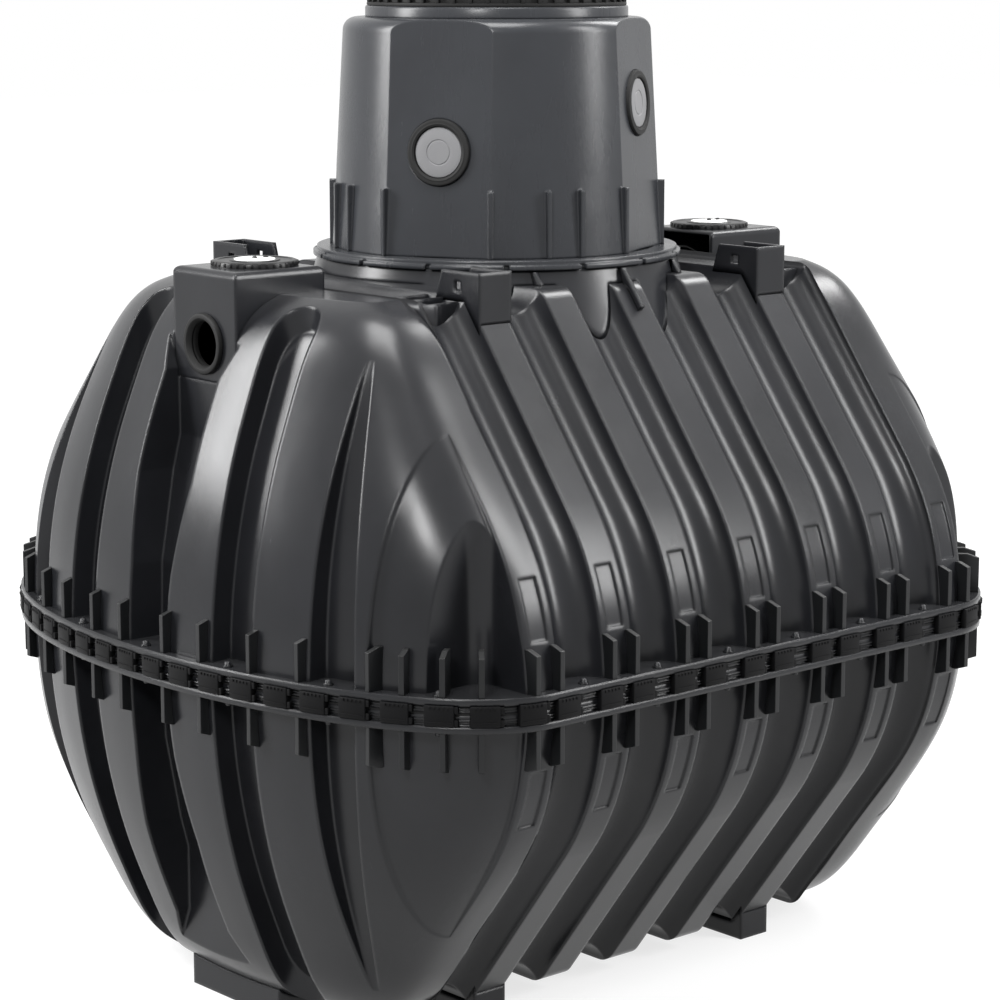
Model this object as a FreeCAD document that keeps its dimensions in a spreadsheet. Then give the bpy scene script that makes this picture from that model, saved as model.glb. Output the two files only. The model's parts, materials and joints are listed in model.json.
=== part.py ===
import FreeCAD, Part
import math
import os

# Buried holding tank of two corrugated half shells, clipped together at a flange at mid height,
# with a round inspection dome on top. Millimetres; X along the tank, Z up, feet on z = 0.

DIMS = [
    # flange and body
    ("flange_half_length", 1137.0),
    ("flange_half_width", 988.0),
    ("mid_height", 910.0),
    ("straight_half", 700.0),
    ("crest_half_length", 1110.0),
    ("crest_half_width", 955.0),
    ("side_rise", 30.0),
    ("side_radius", 642.0),
    ("flank_turn", 37.3),
    ("end_radius", 1700.0),
    ("end_fullness", 0.3),
    ("crown_height", 872.0),
    ("crown_radius", 60.0),
    ("end_crown_radius", 100.0),
    ("wall", 9.0),
    # hoop ribs of the barrel
    ("rib_pitch", 233.0),
    ("rib_width", 92.0),
    ("channel_depth", 60.0),
    ("pane_width", 50.0),
    ("pane_low", 150.0),
    ("pane_high", 290.0),
    ("pane_depth", 4.0),
    # upright grooves, middle trough and corner notches of the ends
    ("inner_groove_x", 880.0),
    ("inner_groove_y", 286.5),
    ("inner_groove_turn", 6.0),
    ("inner_groove_width", 130.0),
    ("outer_groove_x", 805.0),
    ("outer_groove_y", 503.0),
    ("outer_groove_near_turn", 9.2),
    ("outer_groove_far_turn", 38.0),
    ("outer_groove_rise", 760.0),
    ("trough_foot_half_width", 72.0),
    ("trough_knee_half_width", 81.0),
    ("trough_waist_half_width", 108.0),
    ("trough_top_half_width", 140.0),
    ("trough_foot_front", 1018.0),
    ("trough_knee_front", 1005.0),
    ("trough_knee_height", 1130.0),
    ("trough_waist_height", 1350.0),
    ("trough_sill_height", 1430.0),
    ("trough_neck_height", 1590.0),
    ("trough_top_height", 1665.0),
    ("lobe_start", 685.0),
    ("lobe_depth", 15.0),
    ("lobe_rise", 620.0),
    ("notch_x", 745.0),
    ("notch_y", 800.0),
    ("notch_round", 50.0),
    # flange edge, fins and clips
    ("flange_height", 40.0),
    ("flange_recess", 14.0),
    ("recess_height", 24.5),
    ("seal_height", 4.0),
    ("fin_width", 13.0),
    ("fin_top", 140.0),
    ("fin_spread", 36.0),
    ("fin_setback", 6.0),
    ("fin_depth", 60.0),
    ("fin_gap", 16.0),
    ("fin_groove_x", 1040.0),
    ("clip_width", 70.0),
    ("clip_height", 49.0),
    ("clip_proud", 3.0),
    ("clip_chamfer", 5.0),
    ("clip_spread", 51.0),
    ("end_clip_count", 20.0),
    # inlet housings
    ("housing_front", 925.0),
    ("housing_back", 660.0),
    ("housing_half_width", 125.0),
    ("housing_top", 1837.0),
    ("housing_bottom", 1570.0),
    ("housing_wall", 10.0),
    ("housing_round", 16.0),
    ("inlet_height", 1659.0),
    ("inlet_radius", 55.0),
    ("seal_radius", 74.0),
    ("seal_body_radius", 62.0),
    ("seal_proud", 13.0),
    ("seal_back", 20.0),
    ("cap_offset", 774.0),
    ("cap_radius", 105.0),
    ("cap_height", 14.0),
    ("disc_radius", 50.0),
    ("disc_height", 3.0),
    # neck and dome
    ("neck_foot_height", 1500.0),
    ("neck_foot_radius", 567.0),
    ("neck_top_height", 1818.0),
    ("neck_top_radius", 460.0),
    ("neck_wall", 11.0),
    ("gusset_width", 12.0),
    ("base_ring_radius", 472.0),
    ("base_ring_step", 10.0),
    ("base_ring_inner", 405.0),
    ("base_ring_height", 22.0),
    ("ring_notch_count", 15.0),
    ("ring_notch_width", 14.0),
    ("ring_notch_start", 15.7),
    ("dome_foot_radius", 422.0),
    ("dome_top_radius", 389.5),
    ("dome_top_height", 2417.0),
    ("dome_shoulder", 34.0),
    ("dome_wall", 9.0),
    ("dome_turn", 27.3),
    ("dome_flat_half_width", 139.0),
    ("dome_rib_height", 165.0),
    ("dome_rib_width", 11.0),
    ("dome_rib_proud", 8.0),
    ("port_low_height", 2096.0),
    ("port_high_height", 2206.0),
    ("port_ring_radius", 82.0),
    ("port_disc_radius", 62.0),
    ("port_ring_proud", 10.0),
    ("port_disc_proud", 6.0),
    ("collar_radius", 334.0),
    ("collar_inner", 306.0),
    ("collar_top", 2472.0),
    ("tooth_ring_radius", 325.0),
    ("tooth_ring_height", 34.0),
    ("tooth_count", 24.0),
    ("shaft_radius", 305.0),
    ("shaft_inner", 295.0),
    ("shaft_top", 2540.0),
    ("lid_radius", 342.0),
    ("lid_height", 32.0),
    # lugs and feet
    ("lug_width", 100.0),
    ("lug_outer", 528.0),
    ("lug_inner_foot", 361.0),
    ("lug_inner_top", 391.0),
    ("lug_slope_height", 1743.0),
    ("lug_top", 1840.0),
    ("lug_foot", 1640.0),
    ("lug_wall", 10.0),
    ("lug_hole_y", 448.0),
    ("lug_hole_z", 1804.0),
    ("lug_hole_width", 24.0),
    ("lug_hole_height", 22.0),
    ("side_foot_inner", 335.0),
    ("side_foot_outer", 506.0),
    ("side_foot_width", 98.0),
    ("foot_height", 220.0),
    ("end_foot_near", 766.0),
    ("end_foot_far", 866.0),
    ("end_foot_half_width", 180.0),
]

doc = FreeCAD.newDocument("holding_tank")
sheet = doc.addObject("Spreadsheet::Sheet", "dims")
for row, (alias, value) in enumerate(DIMS, start=1):
    sheet.set("A%d" % row, alias)
    sheet.set("B%d" % row, str(value))
    sheet.setAlias("B%d" % row, alias)
doc.recompute()

UP = FreeCAD.Vector(0, 0, 1)


def size(alias):
    return float(sheet.get(alias))


def place(obj, x="0", y="0", z="0"):
    obj.setExpression("Placement.Base.x", x)
    obj.setExpression("Placement.Base.y", y)
    obj.setExpression("Placement.Base.z", z)
    return obj


def box(name, length, width, height, x, y, z):
    obj = doc.addObject("Part::Box", name)
    obj.setExpression("Length", length)
    obj.setExpression("Width", width)
    obj.setExpression("Height", height)
    return place(obj, x, y, z)


def cylinder(name, radius, height, x, y, z, axis=None):
    obj = doc.addObject("Part::Cylinder", name)
    obj.setExpression("Radius", radius)
    obj.setExpression("Height", height)
    if axis is not None:
        obj.Placement.Rotation = FreeCAD.Rotation(UP, axis)
    return place(obj, x, y, z)


def cone(name, radius_low, radius_high, height, z):
    obj = doc.addObject("Part::Cone", name)
    obj.setExpression("Radius1", radius_low)
    obj.setExpression("Radius2", radius_high)
    obj.setExpression("Height", height)
    return place(obj, z=z)


def feature(name, shape):
    obj = doc.addObject("Part::Feature", name)
    obj.Shape = shape
    return obj


def fuse(name, objs):
    obj = doc.addObject("Part::MultiFuse", name)
    obj.Shapes = objs
    return obj


def group(name, objs):
    obj = doc.addObject("Part::Compound", name)
    obj.Links = objs
    return obj


def common(name, one, two):
    obj = doc.addObject("Part::MultiCommon", name)
    obj.Shapes = [one, two]
    return obj


def cut(name, base, tool):
    obj = doc.addObject("Part::Cut", name)
    obj.Base = base
    obj.Tool = tool
    return obj


def mirror(name, source, base, normal):
    obj = doc.addObject("Part::Mirroring", name)
    obj.Source = source
    obj.Base = base
    obj.Normal = normal
    return obj


def below(name, source):
    return mirror(name, source, UP * size("mid_height"), UP)


def other_end(name, source):
    return mirror(name, source, FreeCAD.Vector(), FreeCAD.Vector(1, 0, 0))


def other_side(name, source):
    return mirror(name, source, FreeCAD.Vector(), FreeCAD.Vector(0, 1, 0))


def extrusion(name, base, direction, length):
    obj = doc.addObject("Part::Extrusion", name)
    obj.Base = base
    obj.DirMode = "Custom"
    obj.Dir = direction
    obj.Solid = True
    obj.setExpression("LengthFwd", length)
    return obj


def prism(name, points, direction, length):
    corners = [FreeCAD.Vector(*p) for p in points]
    face = feature(name + "_face", Part.Face(Part.makePolygon(corners + corners[:1])))
    return extrusion(name, face, direction, length)


def turned(shape, x, y, z, turn):
    shape.rotate(FreeCAD.Vector(), UP, turn)
    shape.translate(FreeCAD.Vector(x, y, z))
    return shape


# Cross profile of the barrel: upright side, round haunch, straight flank and round crown edge,
# the whole drawn in by an inset.
def barrel_body(name, inset, start, length):
    radius = size("side_radius") - inset
    turn = math.radians(size("flank_turn"))
    crown = size("crown_radius") - inset
    base = size("mid_height")
    centre_y = size("crest_half_width") - size("side_radius")
    centre_z = base + size("side_rise")
    top = base + size("crown_height") - inset
    crown_z = top - crown
    crown_y = centre_y + (radius - crown - (crown_z - centre_z) * math.sin(turn)) / math.cos(turn)
    bisect = 0.5 * (turn + 0.5 * math.pi)
    edges = []
    for side in (1, -1):
        def point(y, z):
            return FreeCAD.Vector(start, side * y, z)

        def around(y, z, r, angle):
            return point(y + r * math.cos(angle), z + r * math.sin(angle))

        foot = point(centre_y + radius, base)
        haunch = around(centre_y, centre_z, radius, 0.0)
        flank = around(centre_y, centre_z, radius, turn)
        tip = around(crown_y, crown_z, crown, turn)
        ridge = point(crown_y, top)
        edges.append(Part.makeLine(foot, haunch))
        edges.append(Part.Arc(haunch, around(centre_y, centre_z, radius, 0.5 * turn), flank).toShape())
        edges.append(Part.makeLine(flank, tip))
        edges.append(Part.Arc(tip, around(crown_y, crown_z, crown, bisect), ridge).toShape())
    for z, y in ((top, crown_y), (base, centre_y + radius)):
        edges.append(Part.makeLine(FreeCAD.Vector(start, y, z), FreeCAD.Vector(start, -y, z)))
    face = feature(name + "_profile", Part.Face(Part.Wire(Part.__sortEdges__(edges))))
    return extrusion(name, face, FreeCAD.Vector(1, 0, 0), "%.3f" % length)


# Round channels between the hoop ribs: a circle swept up both sides of the barrel and a straight
# run across its crown. Each channel is as deep as stated and as wide as the gap between two ribs.
def channels(name, grow):
    gap = 0.5 * (size("rib_pitch") - size("rib_width"))
    depth = size("channel_depth")
    circle_radius = (gap ** 2 + depth ** 2) / (2.0 * depth)
    out = circle_radius - depth
    radius = size("side_radius") + out
    turn = math.radians(size("flank_turn"))
    centre_y = size("crest_half_width") - size("side_radius")
    centre_z = size("mid_height") + size("side_rise")
    climb = size("crown_height")
    sides = {1: [], -1: []}
    crowns = []
    for k in range(-3, 3):
        x = (k + 0.5) * size("rib_pitch")
        for side in (1, -1):
            def point(y, z):
                return FreeCAD.Vector(x, side * y, z)

            foot = point(centre_y + radius, centre_z - 120.0)
            haunch = point(centre_y + radius, centre_z)
            middle = point(centre_y + radius * math.cos(0.5 * turn), centre_z + radius * math.sin(0.5 * turn))
            flank = point(centre_y + radius * math.cos(turn), centre_z + radius * math.sin(turn))
            ending = flank + point(-climb * math.sin(turn), climb * math.cos(turn)) - point(0.0, 0.0)
            path = Part.Wire([Part.makeLine(foot, haunch), Part.Arc(haunch, middle, flank).toShape(),
                              Part.makeLine(flank, ending)])
            spine = feature("%s_path_%d_%d" % (name, k + 4, side + 2), path)
            ring = feature("%s_ring_%d_%d" % (name, k + 4, side + 2),
                           Part.Wire(Part.makeCircle(circle_radius + grow, foot, UP)))
            sweep = doc.addObject("Part::Sweep", "%s_sweep_%d_%d" % (name, k + 4, side + 2))
            sweep.Sections = [ring]
            sweep.Spine = (spine, ["Edge1", "Edge2", "Edge3"])
            sweep.Solid = True
            sides[side].append(sweep)
        crowns.append(cylinder("%s_crown_%d" % (name, k + 4), "%.3f" % (circle_radius + grow), "940",
                               "%.3f" % x, "-470",
                               "dims.mid_height + dims.crown_height + %.3f" % out, FreeCAD.Vector(0, 1, 0)))
    return [group(name + "_back", sides[1]), group(name + "_front", sides[-1]), group(name + "_top", crowns)]


def barrel(name, inset):
    reach = 3.0 * size("rib_pitch") - 0.5 * size("rib_width")
    body = barrel_body(name + "_crest", inset, -reach, 2.0 * reach)
    for number, tool in enumerate(channels(name + "_channel", inset)):
        body = cut("%s_cut_%d" % (name, number + 1), body, tool)
    return body


# Shallow panes sunk in the foot of the hoop ribs of the given numbers.
def panes(name, numbers):
    pieces = []
    band = box(name + "_band", "4000", "4000", "dims.pane_high - dims.pane_low", "-2000", "-2000",
               "dims.mid_height + dims.pane_low")
    for k in numbers:
        start = k * size("rib_pitch") - 0.5 * size("pane_width")
        outside = barrel_body("%s_out_%d" % (name, k + 3), -20.0, start, size("pane_width"))
        inside = barrel_body("%s_in_%d" % (name, k + 3), size("pane_depth"), start, size("pane_width"))
        pieces.append(cut("%s_skin_%d" % (name, k + 3), outside, inside))
    return common(name, group(name + "_skins", pieces), band)


barrel_outer = cut("barrel_outer", barrel("barrel_plain", 0.0), panes("panes", range(-2, 3)))
barrel_inner = barrel("barrel_inner", size("wall"))


def half_width_at(rise, inset):
    turn = math.radians(size("flank_turn"))
    radius = size("side_radius") - inset
    centre = size("crest_half_width") - size("side_radius")
    over = max(rise - size("side_rise"), 0.0)
    if over < radius * math.sin(turn):
        return centre + math.sqrt(radius ** 2 - over ** 2)
    return centre + (radius - over * math.sin(turn)) / math.cos(turn)


def half_length_at(rise, inset):
    radius = size("end_radius")
    return size("crest_half_length") - radius + math.sqrt((radius - inset) ** 2 - rise ** 2)


# Rises at which an end is drawn, each with how far its outline is drawn in at the rounded crown.
def stops(inset):
    crown = size("end_crown_radius") - inset
    arc = size("side_rise") + (size("side_radius") - inset) * math.sin(math.radians(size("flank_turn")))
    shoulder = size("crown_height") - inset - crown
    rows = [(part * arc, 0.0) for part in (0.0, 0.25, 0.5, 0.75, 1.0)]
    rows += [(arc + part * (shoulder - arc), 0.0) for part in (0.35, 0.7)]
    for angle in (0.0, 25.0, 50.0, 75.0):
        turn = math.radians(angle)
        rows.append((shoulder + crown * math.sin(turn), crown * (1.0 - math.cos(turn))))
    return rows


# End body beyond a cross plane: one smooth wall bent round the half-elliptic end, closed by flats.
# It can be sunk by a depth that runs out to nothing at a given rise.
def end_body(name, inset, depth=0.0, run_out=1.0):
    start = 3.0 * size("rib_pitch") - 0.5 * size("rib_width")
    s = size("straight_half")
    grid = []
    for rise, draw in stops(inset):
        sunk = inset + depth * max(-0.06, 1.0 - (rise / run_out) ** 2)
        half_length = half_length_at(rise, sunk) - draw
        half_width = half_width_at(rise, sunk) - draw
        z = size("mid_height") + rise
        power = 1.0 - size("end_fullness") * rise / size("crown_height")
        lead = [FreeCAD.Vector(x, half_width, z) for x in (start, 0.5 * (start + s))]
        bend = []
        for n in range(21):
            u = math.pi * n / 20.0
            bend.append(FreeCAD.Vector(s + (half_length - s) * abs(math.sin(u)) ** power,
                                       half_width * math.cos(u), z))
        tail = [FreeCAD.Vector(p.x, -p.y, p.z) for p in reversed(lead)]
        grid.append(lead + bend + tail)
    surface = Part.BSplineSurface()
    surface.interpolate(grid)
    wall = surface.toShape()
    level = [e for e in wall.Edges if e.BoundBox.ZLength < 1.0]
    upright = [e for e in wall.Edges if e.BoundBox.ZLength >= 1.0]
    chords = [Part.makeLine(e.Vertexes[0].Point, e.Vertexes[-1].Point) for e in level]
    faces = [wall]
    for edge, chord in zip(level, chords):
        faces.append(Part.Face(Part.Wire(Part.__sortEdges__([edge, chord]))))
    faces.append(Part.Face(Part.Wire(Part.__sortEdges__(upright + chords))))
    solid = Part.Solid(Part.Shell(faces))
    if solid.Volume < 0:
        solid.reverse()
    return feature(name, solid)


# Upright slot, rounded at its inner end, running outwards from a centre.
def slot(name, x, y, width, turn):
    tall = 2000.0
    bar = Part.makeBox(900.0, width, tall, FreeCAD.Vector(0.0, -0.5 * width, 0.0))
    shape = Part.makeCylinder(0.5 * width, tall).fuse(bar).removeSplitter()
    return feature(name, turned(shape, x, y, 0.0, turn))


# Upright wedge that opens outwards from an apex between two directions.
def wedge(name, side, inset):
    near = math.radians(size("outer_groove_near_turn"))
    far = math.radians(size("outer_groove_far_turn"))
    back = inset / math.sin(0.5 * (far - near))
    middle = 0.5 * (far + near)
    apex_x = size("outer_groove_x") - back * math.cos(middle)
    apex_y = size("outer_groove_y") - back * math.sin(middle)
    plan = [(apex_x, apex_y)]
    for turn in (near, far):
        plan.append((apex_x + 800.0 * math.cos(turn), apex_y + 800.0 * math.sin(turn)))
    return prism(name, [(x, side * y, 0.0) for x, y in plan], UP, "2000")


# Trough in the middle of an end: it widens upwards between the crests, and its floor leans back to
# the upright face of the inlet.
def trough(name, inset):
    low = size("mid_height") - 200.0
    high = 2000.0
    back = size("housing_back")
    reach = 1400.0
    half_widths = [(size("trough_foot_half_width"), low),
                   (size("trough_foot_half_width"), size("mid_height")),
                   (size("trough_knee_half_width"), size("trough_knee_height")),
                   (size("trough_waist_half_width"), size("trough_waist_height")),
                   (size("trough_waist_half_width"), size("trough_neck_height")),
                   (size("trough_top_half_width"), size("trough_top_height")),
                   (size("trough_top_half_width"), high)]
    right = [(back, half + inset, z) for half, z in half_widths]
    left = [(back, -half - inset, z) for half, z in reversed(half_widths)]
    upright = prism(name + "_upright", right + left, FreeCAD.Vector(1, 0, 0), "%.3f" % (reach - back))
    fronts = [(size("housing_front"), high), (size("housing_front"), size("trough_sill_height")),
              (size("trough_knee_front"), size("trough_knee_height")),
              (size("trough_foot_front"), size("mid_height")), (size("trough_foot_front"), low)]
    side = [(front - inset, -reach, z) for front, z in fronts]
    side += [(reach, -reach, low), (reach, -reach, high)]
    floor = prism(name + "_floor", side, FreeCAD.Vector(0, 1, 0), "%.3f" % (2.0 * reach))
    return common(name, upright, floor)


# Corner notch beside the last hoop rib, with a round inner corner.
def notch(name, side, inset):
    x = size("notch_x") - inset
    y = size("notch_y") - inset
    shape = Part.makeBox(600.0, 400.0, 1200.0, FreeCAD.Vector(x, y, size("mid_height") - 100.0))
    corner = [e for e in shape.Edges
              if abs(e.BoundBox.XMax - x) < 0.01 and abs(e.BoundBox.YMax - y) < 0.01]
    shape = shape.makeFillet(size("notch_round") + inset, corner)
    if side < 0:
        shape = shape.mirror(FreeCAD.Vector(), FreeCAD.Vector(0, 1, 0))
    return feature(name, shape)


# End fan: the crest body with its upright grooves, trough and lower outer lobes, and with notches
# at the corners where asked for.
def fan(name, inset, corners):
    depth = size("channel_depth")
    inner_width = size("inner_groove_width") + 2.0 * inset
    inner = []
    outer = []
    lobes = []
    for side in (-1, 1):
        inner.append(slot("%s_inner_%d" % (name, side + 2), size("inner_groove_x"),
                          side * size("inner_groove_y"), inner_width, side * size("inner_groove_turn")))
        outer.append(wedge("%s_outer_%d" % (name, side + 2), side, inset))
        lobe = Part.makeBox(700.0, 500.0, 1200.0, FreeCAD.Vector(size("notch_x") - inset,
                                                                  size("lobe_start") - inset, 800.0))
        if side < 0:
            lobe = lobe.mirror(FreeCAD.Vector(), FreeCAD.Vector(0, 1, 0))
        lobes.append(feature("%s_lobe_%d" % (name, side + 2), lobe))
    floors = [(group(name + "_inner", inner), end_body(name + "_inner_floor", inset + depth)),
              (group(name + "_outer", outer),
               end_body(name + "_outer_floor", inset, depth, size("outer_groove_rise"))),
              (group(name + "_lobes", lobes),
               end_body(name + "_lobe_floor", inset, size("lobe_depth"), size("lobe_rise")))]
    body = end_body(name + "_crest", inset)
    for number, (space, floor_body) in enumerate(floors):
        sunk = cut("%s_sunk_%d" % (name, number + 1), space, floor_body)
        body = cut("%s_step_%d" % (name, number + 1), body, sunk)
    if corners:
        for side in (-1, 1):
            body = cut("%s_notched_%d" % (name, side + 2), body,
                       notch("%s_notch_%d" % (name, side + 2), side, inset))
    return cut(name, body, trough(name + "_trough", inset))


wall = size("wall")
upper_fan = cut("upper_fan", fan("upper_fan_plain", 0.0, True), panes("upper_end_panes", (3,)))
upper_hollow = fan("upper_hollow", wall, True)
lower_fan = cut("lower_fan", fan("lower_fan_plain", 0.0, False), panes("lower_end_panes", (3,)))
lower_hollow = fan("lower_hollow", wall, False)
housing_blank = box("housing_blank", "dims.housing_front - dims.housing_back", "2 * dims.housing_half_width",
                    "dims.housing_top - dims.housing_bottom", "dims.housing_back",
                    "-dims.housing_half_width", "dims.housing_bottom")
upper_end_right = cut("upper_end_right", cut("upper_end_skin", upper_fan, upper_hollow), housing_blank)
upper_end_left = other_end("upper_end_left", upper_end_right)
lower_end_right = below("lower_end_right", cut("lower_end_skin", lower_fan, lower_hollow))
lower_end_left = other_end("lower_end_left", lower_end_right)

neck_rise = "dims.neck_top_height - dims.neck_foot_height"
neck_outside = cone("neck_outside", "dims.neck_foot_radius", "dims.neck_top_radius", neck_rise,
                    "dims.neck_foot_height")
neck_inside = cone("neck_inside", "dims.neck_foot_radius - dims.neck_wall",
                   "dims.neck_top_radius - dims.neck_wall", neck_rise, "dims.neck_foot_height")
barrel_skin = cut("barrel_skin", barrel_outer, barrel_inner)
upper_barrel = cut("upper_barrel", barrel_skin, neck_inside)
lower_barrel = below("lower_barrel", barrel_skin)
upper_body = group("upper_body", [barrel_outer, upper_fan, other_end("upper_fan_far", upper_fan)])
lower_body = group("lower_body", [barrel_outer, lower_fan, other_end("lower_fan_far", lower_fan)])


# Plan outline of the flange: straight sides and half-elliptic ends, drawn in by a given amount.
def outline(draw):
    s = size("straight_half")
    a = size("flange_half_length") - draw
    b = size("flange_half_width") - draw
    z = size("mid_height")
    edges = []
    for side in (1, -1):
        start = FreeCAD.Vector(-side * s, side * b, z)
        corner = FreeCAD.Vector(side * s, side * b, z)
        tip = FreeCAD.Vector(side * a, 0.0, z)
        bend = Part.Ellipse(corner, tip, FreeCAD.Vector(side * s, 0.0, z))
        edges.append(Part.makeLine(start, corner))
        edges.append(Part.ArcOfEllipse(bend, 0.0, math.pi).toShape())
    return Part.Wire(edges)


def plate(name, draw, height):
    return extrusion(name, feature(name + "_outline", outline(draw)), UP, height)


# Both flanges, with a recess round the edge for the clips and a seal let in between.
flange_blank = plate("flange_blank", 0.0, "dims.flange_height")
edge_blank = plate("edge_blank", 0.0, "dims.recess_height")
edge_core = plate("edge_core", size("flange_recess"), "dims.recess_height")
edge_recess = cut("edge_recess", edge_blank, edge_core)
seal_blank = plate("seal_blank", size("flange_recess"), "dims.seal_height")
flange_grooved = cut("flange_grooved", flange_blank, edge_recess)
upper_flange = cut("upper_flange", cut("upper_flange_full", flange_grooved, seal_blank), upper_body)
lower_flange = below("lower_flange", cut("lower_flange_up", flange_grooved, lower_body))
flange_seal = cut("flange_seal", seal_blank, upper_body)


# Point on the half-elliptic end of the flange at a given y, with its outward direction in degrees.
def rim(y):
    short = size("flange_half_length") - size("straight_half")
    tall = size("flange_half_width")
    x = short * math.sqrt(1.0 - (y / tall) ** 2)
    return size("straight_half") + x, math.degrees(math.atan2(y / tall ** 2, x / short ** 2))


# Upright fin on the flange, standing against a crest, with a sloping top.
def fin(name, x, y, turn):
    height = size("fin_top") - size("flange_height")
    width = size("fin_width")
    edge = -size("fin_setback")
    back = edge - size("fin_depth")
    points = [(back, 0.0), (edge, 0.0), (edge, height - 10.0), (0.5 * (edge + back), height), (back, height)]
    corners = [FreeCAD.Vector(a, -0.5 * width, b) for a, b in points]
    shape = Part.Face(Part.makePolygon(corners + corners[:1])).extrude(FreeCAD.Vector(0, width, 0))
    return feature(name, turned(shape, x, y, size("mid_height") + size("flange_height"), turn))


side_fins = []
for k in range(-2, 3):
    for side in (-1, 1):
        side_fins.append(fin("side_fin_%d_%d" % (k + 3, side + 2),
                             k * size("rib_pitch") + side * size("fin_spread"),
                             size("flange_half_width"), 90.0))

fin_gap = size("fin_gap")
inner_turn = math.radians(size("inner_groove_turn"))
inner_half = 0.5 * size("inner_groove_width") / math.cos(inner_turn) + fin_gap
inner_mid = size("inner_groove_y") + math.tan(inner_turn) * (size("fin_groove_x") - size("inner_groove_x"))
end_rows = [size("trough_foot_half_width") + fin_gap, inner_mid - inner_half, inner_mid + inner_half]
for edge, shift in (("near", -fin_gap), ("far", fin_gap)):
    lean = math.tan(math.radians(size("outer_groove_%s_turn" % edge)))
    run = size("fin_groove_x") - size("outer_groove_x")
    end_rows.append(size("outer_groove_y") + lean * run + shift)
end_fins = []
corner_fins = []
for side in (-1, 1):
    for n, y in enumerate(end_rows):
        end_fins.append(fin("end_fin_%d_%d" % (n + 1, side + 2), rim(y)[0], side * y, 0.0))
    for n, y in enumerate((780.0, 860.0, 925.0)):
        x, turn = rim(y)
        corner_fins.append(fin("corner_fin_%d_%d" % (n + 1, side + 2), x, side * y, side * turn))
    fan_start = 3.0 * size("rib_pitch") - size("fin_spread")
    for n in (0, 1):
        corner_fins.append(fin("edge_fin_%d_%d" % (n + 1, side + 2), fan_start + n * 2.0 * size("fin_spread"),
                               side * size("flange_half_width"), side * 90.0))
end_blanks = group("end_fin_blanks", end_fins + corner_fins)
side_blanks = group("side_fin_blanks", side_fins)
upper_fins_back = cut("upper_fins_back", side_blanks, barrel_outer)
upper_fins_front = other_side("upper_fins_front", upper_fins_back)
upper_fins_right = cut("upper_fins_right", end_blanks, upper_fan)
upper_fins_left = other_end("upper_fins_left", upper_fins_right)
lower_fins_back = below("lower_fins_back", upper_fins_back)
lower_fins_front = other_side("lower_fins_front", lower_fins_back)
lower_fins_right = below("lower_fins_right", cut("lower_fins_right_up", end_blanks, lower_fan))
lower_fins_left = other_end("lower_fins_left", lower_fins_right)


# Clip in the recess of the flange edge, with bevelled outer ends.
def clip(name, x, y, turn):
    back = -size("flange_recess")
    front = size("clip_proud")
    half = 0.5 * size("clip_width")
    bevel = size("clip_chamfer")
    plan = [(back, -half), (front - bevel, -half), (front, bevel - half), (front, half - bevel),
            (front - bevel, half), (back, half)]
    corners = [FreeCAD.Vector(a, b, -0.5 * size("clip_height")) for a, b in plan]
    shape = Part.Face(Part.makePolygon(corners + corners[:1])).extrude(UP * size("clip_height"))
    return feature(name, turned(shape, x, y, size("mid_height"), turn))


side_clips = []
for k in range(-3, 4):
    for side in (-1, 1):
        side_clips.append(clip("side_clip_%d_%d" % (k + 4, side + 2),
                               k * size("rib_pitch") + side * size("clip_spread"),
                               size("flange_half_width"), 90.0))
clips_back = group("clips_back", side_clips)
clips_front = other_side("clips_front", clips_back)


# Evenly spaced places round one half-elliptic end of the flange, clear of the side clips.
def end_places(count, lead):
    short = size("flange_half_length") - size("straight_half")
    tall = size("flange_half_width")
    steps = 4000
    trail = [(0.0, -0.5 * math.pi)]
    for n in range(steps):
        u = math.pi * ((n + 0.5) / steps - 0.5)
        step = math.pi / steps * math.hypot(short * math.sin(u), tall * math.cos(u))
        trail.append((trail[-1][0] + step, math.pi * ((n + 1.0) / steps - 0.5)))
    total = trail[-1][0]
    places = []
    for n in range(count):
        goal = lead + (total - 2.0 * lead) * n / (count - 1.0)
        u = min(trail, key=lambda item: abs(item[0] - goal))[1]
        turn = math.degrees(math.atan2(short * math.sin(u), tall * math.cos(u)))
        places.append((size("straight_half") + short * math.cos(u), tall * math.sin(u), turn))
    return places


side_clip_end = 3.0 * size("rib_pitch") + size("clip_spread")
clip_lead = side_clip_end - size("straight_half") + 0.5 * size("rib_pitch")
end_clips = []
for n, (x, y, turn) in enumerate(end_places(int(size("end_clip_count")), clip_lead)):
    end_clips.append(clip("end_clip_%d" % (n + 1), x, y, turn))
edge_cores = group("edge_cores", [edge_core, below("edge_core_low", edge_core)])
clips_right = cut("clips_right", group("end_clip_blanks", end_clips), edge_cores)
clips_left = other_end("clips_left", clips_right)

# Neck that flares down into the barrel, with a gusset over each of the three ribs it stops.
neck_tube = cut("neck_tube", neck_outside, neck_inside)
neck_collar = cut("neck_collar", neck_tube, barrel_outer)
gussets = []
for k in (-1, 0, 1):
    x = k * size("rib_pitch") - 0.5 * size("gusset_width")
    y = math.sqrt(size("neck_top_radius") ** 2 - (k * size("rib_pitch")) ** 2)
    top = size("neck_top_height") - 4.0
    points = [(x, y - 60.0, top), (x, y + 14.0, top), (x, y + 85.0, top - 90.0), (x, y - 60.0, top - 220.0)]
    gussets.append(prism("gusset_%d" % (k + 2), points, FreeCAD.Vector(1, 0, 0), "dims.gusset_width"))
gussets_low = cut("gussets_low", group("gusset_blanks", gussets), barrel_outer)
gussets_back = cut("gussets_back", gussets_low, neck_outside)
neck_gussets = group("neck_gussets", [gussets_back, other_side("gussets_front", gussets_back)])

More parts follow.
